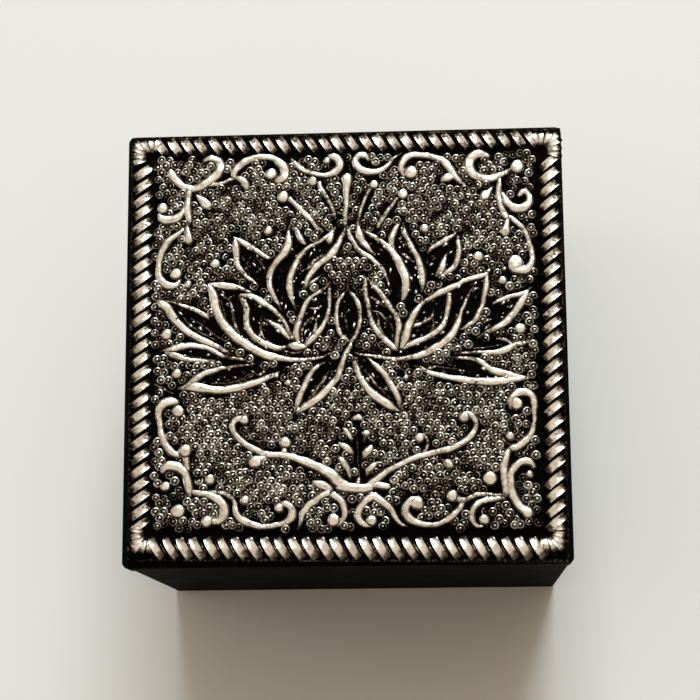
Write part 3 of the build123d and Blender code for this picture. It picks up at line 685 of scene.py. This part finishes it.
beadSet = {"segments": 14, "rings": 8, "cut": -0.3, "flatten": 0.9, "turn": 0.7, "angle": 60}


def modelBead():
    bpy.ops.object.select_all(action="DESELECT")
    bpy.ops.mesh.primitive_uv_sphere_add(segments=beadSet["segments"], ring_count=beadSet["rings"], radius=1,
                                         location=(0, 0, 0))
    bead = bpy.context.object
    editAll(bead, lambda: bpy.ops.mesh.bisect(plane_co=(0, 0, beadSet["cut"]), plane_no=(0, 0, 1),
                                              clear_inner=True, use_fill=True),
            lambda: bpy.ops.transform.resize(value=(1, 1, beadSet["flatten"])))
    return bead


def scatter(stamp, spots, name):
    # one copy of the stamp for each x y z size turn tilt
    copies = []
    for x, y, z, size, turn, tilt in spots:
        copy = stamp.copy()
        copy.data = stamp.data.copy()
        lean = Matrix.Rotation(turn, 3, "Z") @ Matrix.Rotation(tilt, 3, "X")
        copy.matrix_world = Matrix.LocRotScale((x * mm, y * mm, z * mm), lean, Vector((size * mm,) * 3))
        bpy.context.scene.collection.objects.link(copy)
        copies.append(copy)
    bpy.data.objects.remove(stamp)
    piece = joinAll(copies, name)
    settle(piece)
    return piece


beadSpots = [(*onPlate(x, y), plateSet["ground"], r, beadSet["turn"] * i, 0.0) for i, (x, y, r) in enumerate(beads)]
reliefBeads = scatter(modelBead(), beadSpots, "reliefBeads")
handWork(reliefBeads)
finishMesh(reliefBeads, pewter, beadSet["angle"])
ridePlate(reliefBeads)
print("beads are set:", len(beads))

ringSet = {
    "seed": 11, "gap": 1.02, "rowStep": 0.866, "jitter": 0.09,      # rows of a triangular pattern, struck by eye
    "bend": 1.1, "bendScale": 0.11,                                 # the rows wander, in mm and per mm
    "edge": 26, "left": -25.75, "right": 25.35, "front": -25.0, "back": 25.85,
    "keepOff": 0.22, "reach": 2.2, "lineStep": 0.2, "mostSpots": 200000,    # clear land beside the lines and beads
    "sides": 9, "radius": 0.72, "depth": 0.1, "sink": -0.15, "facingUp": 0.9,
    "steps": ((0.12, 0.32), (0.12, 0.03), (0.13, -0.18), (0.04, 0.0), (0.08, 0.14)),    # inward, then up
    "dome": 0.09, "middle": 0.02,
    "depths": (-0.09, 0.05), "sizes": (0.92, 1.08), "tilt": 0.1, "angle": 60,
}


def modelRing():
    # a struck ring: a flat land that meets its neighbours, a narrow groove and a small dome inside it
    bpy.ops.object.select_all(action="DESELECT")
    bpy.ops.mesh.primitive_cylinder_add(vertices=ringSet["sides"], radius=ringSet["radius"], depth=ringSet["depth"],
                                        location=(0, 0, ringSet["sink"]))
    ring = bpy.context.object
    bpy.ops.object.mode_set(mode="EDIT")
    bpy.ops.mesh.select_all(action="DESELECT")
    bpy.ops.object.mode_set(mode="OBJECT")
    for face in ring.data.polygons:
        face.select = face.normal.z > ringSet["facingUp"]
    bpy.ops.object.mode_set(mode="EDIT")
    bpy.ops.mesh.select_mode(type="FACE")
    for inward, rise in ringSet["steps"]:
        bpy.ops.mesh.inset(thickness=inward, depth=0)
        bpy.ops.transform.translate(value=(0, 0, rise))
    bpy.ops.mesh.poke()
    bpy.ops.object.mode_set(mode="OBJECT")
    for vertex in ring.data.vertices:
        if vertex.co.xy.length < ringSet["middle"] and vertex.co.z > 0:
            vertex.co.z += ringSet["dome"]
    return ring


random.seed(ringSet["seed"])
ridgeTree = KDTree(ringSet["mostSpots"])
ridgeWidths = []
for rows in ridgeRows.values():
    for row in rows:
        for (x1, y1, w1), (x2, y2, w2) in zip(row, row[1:]):
            steps = max(2, int(math.hypot(x2 - x1, y2 - y1) / ringSet["lineStep"]))
            for i in range(steps + 1):
                t = i / steps
                ridgeTree.insert((x1 + (x2 - x1) * t, y1 + (y2 - y1) * t, 0), len(ridgeWidths))
                ridgeWidths.append((w1 + (w2 - w1) * t) / 2)
for x, y, r in beads:
    ridgeTree.insert((x, y, 0), len(ridgeWidths))
    ridgeWidths.append(r)
ridgeTree.balance()


def clearOfRelief(x, y):
    for _, index, distance in ridgeTree.find_range((x, y, 0), ringSet["reach"]):
        if distance < ridgeWidths[index] + ringSet["keepOff"]:
            return False
    return not any(inside(x, y, outline) for outline in fields)


rings = []
acrossPlate = 2 * ringSet["edge"]
pace = ringSet["bendScale"]
for row in range(int(acrossPlate / (ringSet["gap"] * ringSet["rowStep"])) + 2):
    for column in range(int(acrossPlate / ringSet["gap"]) + 2):
        x = -ringSet["edge"] + (column + 0.5 * (row % 2)) * ringSet["gap"]
        y = -ringSet["edge"] + row * ringSet["gap"] * ringSet["rowStep"]
        bend = noise.noise_vector((x * pace, y * pace, 5.0))
        x += random.gauss(0, ringSet["jitter"]) + bend.x * ringSet["bend"]
        y += random.gauss(0, ringSet["jitter"]) + bend.y * ringSet["bend"]
        onLand = ringSet["left"] < x < ringSet["right"] and ringSet["front"] < y < ringSet["back"]
        if onLand and clearOfRelief(x, y):
            rings.append((x, y))
ringHalves = {"ringGroundBack": [r for r in rings if r[1] > 0], "ringGroundFront": [r for r in rings if r[1] <= 0]}
for name, spots in ringHalves.items():
    ringSpots = []
    for x, y in spots:
        spot = onPlate(x, y)
        ringSpots.append((spot.x, spot.y, plateSet["ground"] + random.uniform(*ringSet["depths"]),
                          random.uniform(*ringSet["sizes"]), random.uniform(0, fullTurn),
                          random.gauss(0, ringSet["tilt"])))
    ringGround = scatter(modelRing(), ringSpots, name)
    finishMesh(ringGround, pewter, ringSet["angle"])
    ridePlate(ringGround)
print("rings are stamped:", len(rings))

markSet = {
    "seed": 23, "perMm": 0.85, "short": 0.35, "long": 1.3, "lean": 0.3,
    "width": (0.16, 0.36), "narrow": 0.5, "rise": (0.1, 0.5), "base": 47.56, "smooth": 2,
}


def petalAxis(outline):
    # the way from one end of a petal to the other
    pairs = [(math.dist(a, b), a, b) for a in outline for b in outline]
    _, a, b = max(pairs)
    return math.atan2(b[1] - a[1], b[0] - a[0])


def toolMarks():
    # short strokes of the modelling tool that roughen the inside of each petal
    random.seed(markSet["seed"])
    rows = []
    for outline in fields:
        lean = petalAxis(outline)
        lowX, highX = min(x for x, y in outline), max(x for x, y in outline)
        lowY, highY = min(y for x, y in outline), max(y for x, y in outline)
        for _ in range(int((highX - lowX) * (highY - lowY) * markSet["perMm"])):
            x, y = random.uniform(lowX, highX), random.uniform(lowY, highY)
            half = random.uniform(markSet["short"], markSet["long"]) / 2
            turn = lean + random.gauss(0, markSet["lean"])
            width = random.uniform(*markSet["width"])
            if inside(x, y, outline):
                dx, dy = math.cos(turn) * half, math.sin(turn) * half
                thin = width * markSet["narrow"]
                rows.append([(x - dx, y - dy, thin, 0.0), (x, y, width, random.uniform(*markSet["rise"])),
                             (x + dx, y + dy, thin, 0.0)])
    return rows


ropeSet = {
    "seed": 5, "pitch": 1.87, "width": 1.18, "base": 47.2, "smooth": 4, "angle": 70,
    "slip": 0.1, "widths": (0.9, 1.08),
    "section": ((-1, -.5), (-.98, .25), (-.84, .5), (-.4, .42), (.4, .42), (.84, .5), (.98, .25), (1, -.5)),
    # a strand from end to end: how far along, share of the bow, height, share of the width
    "lay": ((0, 0.0, 0.1, 0.6), (0.16, 0.6, 0.6, 0.95), (0.5, 1.0, 1.0, 1.05), (0.84, 0.6, 0.6, 0.95), (1, 0.0, 0.1, 0.6)),
    # the fine second lay in the gap beside each strand
    "fineShift": 0.93, "fineWidth": 0.13, "fineRise": 0.75,
}
ropeSides = {
    # side: start of the run, its direction and length, inner and outer end of a strand, its bow and its height
    # the back rope is laid lower than the other sides so that the height-based rubbing of the patina paints it darker:
    # painted shade
    "back": ((-26.0, 0), (1, 0), 50.6, (1.9, 26.3), (0, 29.15), 0.12, 0.46),
    "front": ((-26.1, 0), (1, 0), 50.5, (0, -25.8), (1.9, -29.05), -0.2, 0.76),
    "left": ((0, -25.6), (0, 1), 49.6, (-26.1, 2.2), (-29.15, 0), 0.1, 0.5),
    "right": ((0, -25.5), (0, 1), 49.2, (26.1, 0), (29.15, 2.5), 0.1, 0.5),
}
fanSet = {
    # inner corner of the rope, and which way its fan opens
    "corners": (((-26.3, 26.1), -1, 1), ((26.5, 25.9), 1, 1), ((-26.1, -25.5), -1, -1), ((26.1, -25.3), 1, -1)),
    "reach": ((2.8, -0.7), (2.8, 0.55), (2.8, 1.75), (2.5, 2.7), (1.35, 2.8), (0.1, 2.8), (-1.0, 2.8)),
    # one strand of the fan: how far along, width, height
    "strand": ((0.2, 0.26, 0.3), (0.5, 0.58, 0.62), (0.8, 0.92, 0.55), (1, 0.55, 0.2)),
}
lipSet = {"half": 29.0, "points": 12, "shake": 0.03, "width": (0.28, 0.38), "rise": 0.4}


def strandRow(fx, fy, tx, ty, width, bow):
    # one lay of the rope, narrow at both ends: it rises from the plate, lies over the middle and goes down again
    dx, dy = tx - fx, ty - fy
    length = math.hypot(dx, dy)
    nx, ny = -dy / length, dx / length
    row = []
    for t, bend, rise, w in ropeSet["lay"]:
        row.append((fx + dx * t + nx * bend * bow, fy + dy * t + ny * bend * bow, width * w, rise))
    return row


def drawStrands(name, rows, base, smooth):
    raised = [[(x, y, w, base + rise) for x, y, w, rise in row] for row in rows]
    piece = sweepRows(name, raised, ropeSet["section"], smooth, False)
    finishMesh(piece, pewter, ropeSet["angle"])
    ridePlate(piece)


strandRows = []
random.seed(ropeSet["seed"])
for (sx, sy), (rx, ry), run, inner, outer, bow, arch in ropeSides.values():
    for i in range(int(run / ropeSet["pitch"]) + 1):
        at = i * ropeSet["pitch"] + random.uniform(-ropeSet["slip"], ropeSet["slip"])
        ox, oy = sx + rx * at, sy + ry * at
        width = ropeSet["width"] * random.uniform(*ropeSet["widths"])
        row = strandRow(inner[0] + ox, inner[1] + oy, outer[0] + ox, outer[1] + oy, width, bow)
        lay = [(x, y, w, rise * arch) for x, y, w, rise in row]
        strandRows.append(lay)
        shiftX, shiftY = rx * ropeSet["fineShift"], ry * ropeSet["fineShift"]
        strandRows.append([(x + shiftX, y + shiftY, w * ropeSet["fineWidth"], rise * ropeSet["fineRise"])
                           for x, y, w, rise in lay])
for (cx, cy), wayX, wayY in fanSet["corners"]:
    for outX, outY in fanSet["reach"]:
        tipX, tipY = cx + wayX * outX, cy + wayY * outY
        strandRows.append([(cx + (tipX - cx) * t, cy + (tipY - cy) * t, w, rise) for t, w, rise in fanSet["strand"]])
# the raised lip round the outside
lip, count, shake = lipSet["half"], lipSet["points"], lipSet["shake"]
lipRun = ((-lip, lip), (lip, lip), (lip, -lip), (-lip, -lip), (-lip, lip))
for (x1, y1), (x2, y2) in zip(lipRun, lipRun[1:]):
    strandRows.append([(x1 + (x2 - x1) * t / count + random.uniform(-shake, shake),
                        y1 + (y2 - y1) * t / count + random.uniform(-shake, shake),
                        random.uniform(*lipSet["width"]), lipSet["rise"]) for t in range(count + 1)])
drawStrands("ropeBorder", strandRows, ropeSet["base"], ropeSet["smooth"])
drawStrands("petalTooling", toolMarks(), markSet["base"], markSet["smooth"])
print("rope is laid:", len(strandRows), "strands")

sheetSet = {
    "bank": 0.16, "bankAt": 27.85, "bankHalf": 1.45, "gutter": -0.05, "gutterFrom": 25.4, "gutterTo": 26.3,
    "petalLift": 0.11, "sway": 0.02, "sink": 0.03, "near": 0.01, "angle": 60,
    "seed": 3, "edgeWaves": (0.05, 0.04),
}


def sheetHeight(x, y):
    # the sheet rises into a low bank under the rope, with a gutter just inside it, and sways a little everywhere
    reach = max(abs(x), abs(y))
    bank = max(0.0, 1 - ((reach - sheetSet["bankAt"]) / sheetSet["bankHalf"]) ** 2) * sheetSet["bank"]
    gutter = sheetSet["gutter"] if sheetSet["gutterFrom"] < reach < sheetSet["gutterTo"] else 0.0
    lift = sheetSet["petalLift"] if any(inside(x, y, outline) for outline in fields) else 0.0
    sway = sheetSet["sway"] * math.sin(x * 1.7 + 0.4 * y) + sheetSet["sway"] * math.sin(y * 2.1 - 0.7 * x)
    return bank + gutter + lift + sway


def pullToBottom():
    bpy.ops.mesh.extrude_region_move(TRANSFORM_OT_translate={"value": (0, 0, 0)})
    bpy.ops.transform.resize(value=(1, 1, 0), center_override=(0, 0, plateSet["bottom"] * mm))


def modelSheet():
    half, cells, near = plateSet["half"], plateSet["cells"], sheetSet["near"]
    bpy.ops.object.select_all(action="DESELECT")
    bpy.ops.mesh.primitive_grid_add(x_subdivisions=cells, y_subdivisions=cells, size=2 * half * mm, location=(0, 0, 0))
    sheet = bpy.context.object
    sheet.name = "pewterSheet"
    # the edge was cut by hand, in a long wave and a short one
    random.seed(sheetSet["seed"])
    longStart, shortStart = random.uniform(0, fullTurn), random.uniform(0, fullTurn)
    longWave, shortWave = sheetSet["edgeWaves"]
    for vertex in sheet.data.vertices:
        x, y = vertex.co.x / mm, vertex.co.y / mm
        spot = onPlate(x, y)
        height = plateSet["ground"] - sheetSet["sink"] + sheetHeight(x, y)
        if max(abs(x), abs(y)) > half - near:
            wave = longWave * math.sin(1.3 * x + 0.9 * y + longStart) + shortWave * math.sin(3.1 * (x - y) + shortStart)
            if abs(abs(x) - half) < near:
                spot.x += math.copysign(wave, x)
            if abs(abs(y) - half) < near:
                spot.y += math.copysign(wave, y)
        vertex.co = (spot.x * mm, spot.y * mm, height * mm)
    editAll(sheet, pullToBottom)
    faceOut(sheet)
    return sheet


pewterSheet = modelSheet()
finishMesh(pewterSheet, pewter, sheetSet["angle"])
ridePlate(pewterSheet)
print("sheet is cast")

softSet = {
    # node: body, slot, crown mm, which way the pile looks
    "body_floor_lining": ("body", "velvet", 0.12, (0, 0, 1)),
    "body_front_lining": ("body", "velvet", 0.12, (0, 1, 0)),
    "body_back_lining": ("body", "velvet", 0.12, (0, -1, 0)),
    "body_left_lining": ("body", "velvet", 0.12, (1, 0, 0)),
    "body_right_lining": ("body", "velvet", 0.12, (-1, 0, 0)),
    "lid_top_lining": ("lid", "velvet", 0.2, (0, 0, -1)),
    "lid_front_lining": ("lid", "velvet", 0.12, (0, 1, 0)),
    "lid_back_lining": ("lid", "velvet", 0.12, (0, -1, 0)),
    "lid_left_lining": ("lid", "velvet", 0.12, (1, 0, 0)),
    "lid_right_lining": ("lid", "velvet", 0.12, (-1, 0, 0)),
    "cake_seat": ("body", "pad_foam", 0.35, (0, 0, 1)),
    "base_felt": ("body", "base_felt", 0.0, (0, 0, 1)),
}
padSet = {
    "cell": 0.6, "edge": 0.22, "rollSteps": 3, "rollAngle": 50, "angle": 50,
    "pileSide": 0.2, "ripple": 0.04,                                          # share of the thickness, mm
    "weld": 0.005, "seatVoxel": 0.4, "soften": 0.5, "softenTimes": 5,
}


def crownFace(piece, low, high, crown, way):
    # the face with the pile swells a little between its edges
    size, middle = high - low, (low + high) / 2
    axis = max(range(3), key=lambda i: abs(way[i]))
    across = [i for i in range(3) if i != axis]
    for vertex in piece.data.vertices:
        u, v = [min(1.0, abs(2 * (vertex.co[i] - middle[i]) / size[i])) for i in across]
        if (vertex.co[axis] - middle[axis]) * way[axis] > padSet["pileSide"] * size[axis]:
            x, y, z = vertex.co / mm
            ripple = padSet["ripple"] * math.sin(x * 0.9 + z * 0.5) * math.cos(y * 0.8 + z * 0.4)
            vertex.co[axis] += way[axis] * (crown * (1 - u ** 4) * (1 - v ** 4) + ripple - padSet["ripple"]) * mm


def boardPad(low, high, way):
    # a flat pad: a fine grid pulled up to its thickness, with its edges rolled over
    size, middle = high - low, (low + high) / 2
    axis = max(range(3), key=lambda i: abs(way[i]))
    wide, deep = [i for i in range(3) if i != axis]
    cellsWide, cellsDeep = [max(2, round(size[i] / mm / padSet["cell"])) for i in (wide, deep)]
    bpy.ops.object.select_all(action="DESELECT")
    bpy.ops.mesh.primitive_grid_add(x_subdivisions=cellsWide, y_subdivisions=cellsDeep, size=1, location=(0, 0, 0))
    pad = bpy.context.object
    editAll(pad, lambda: bpy.ops.mesh.extrude_region_move(TRANSFORM_OT_translate={"value": (0, 0, 1)}))
    for vertex in pad.data.vertices:
        a, b, c = vertex.co
        spot = Vector(middle)
        spot[wide] += a * size[wide]
        spot[deep] += b * size[deep]
        spot[axis] += (c - 0.5) * size[axis]
        vertex.co = spot
    faceOut(pad)
    roll = pad.modifiers.new("roll", "BEVEL")
    roll.width = padSet["edge"] * mm
    roll.segments = padSet["rollSteps"]
    roll.limit_method = "ANGLE"
    roll.angle_limit = math.radians(padSet["rollAngle"])
    bpy.ops.object.modifier_apply(modifier="roll")
    return pad


def seatPad(node):
    # the seat has a round pocket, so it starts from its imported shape
    pad = nodes[node].copy()
    pad.data = nodes[node].data.copy()
    for key in list(pad.keys()):
        del pad[key]
    pad.parent = None
    bpy.context.scene.collection.objects.link(pad)
    weld(pad, padSet["weld"])
    remesh = pad.modifiers.new("pad", "REMESH")
    remesh.mode = "VOXEL"
    remesh.voxel_size = padSet["seatVoxel"] * mm
    bpy.ops.object.modifier_apply(modifier="pad")
    smooth = pad.modifiers.new("soften", "SMOOTH")
    smooth.factor = padSet["soften"]
    smooth.iterations = padSet["softenTimes"]
    bpy.ops.object.modifier_apply(modifier="soften")
    return pad


def softPiece(node, crown, way, cloth):
    low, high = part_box(node)
    piece = seatPad(node) if node == "cake_seat" else boardPad(low, high, way)
    piece.name = node + "_cloth"
    piece.data.name = piece.name
    crownFace(piece, low, high, crown, way)
    finishMesh(piece, cloth, padSet["angle"])
    return piece


for node, (body, slotName, crown, way) in softSet.items():
    cloth = feltCloth if node == "base_felt" else velvet
    piece = softPiece(node, crown, way, cloth)
    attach(piece, body)
    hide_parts(node)
print("velvet and felt are cut")

nodeFinish = {
    woodAcross: ("bottom_panel", "body_front_wall", "body_back_wall", "lid_front_rail", "lid_back_rail", "cake_plinth"),
    woodDeep: ("body_left_wall", "body_right_wall", "lid_left_rail", "lid_right_rail", "lid_top_panel"),
    brass: ("hinge_body_leaf_left", "hinge_body_leaf_right", "hinge_lid_leaf_left", "hinge_lid_leaf_right",
            "hinge_pin_left", "hinge_pin_right", "hinge_body_screws", "hinge_lid_screws"),
    rosin: ("rosin_cake",),
    pitch: ("plate_filler",),
}
for material, names in nodeFinish.items():
    for name in names:
        nodes[name].data.materials.clear()
        nodes[name].data.materials.append(material)
print("packed nodes are painted")
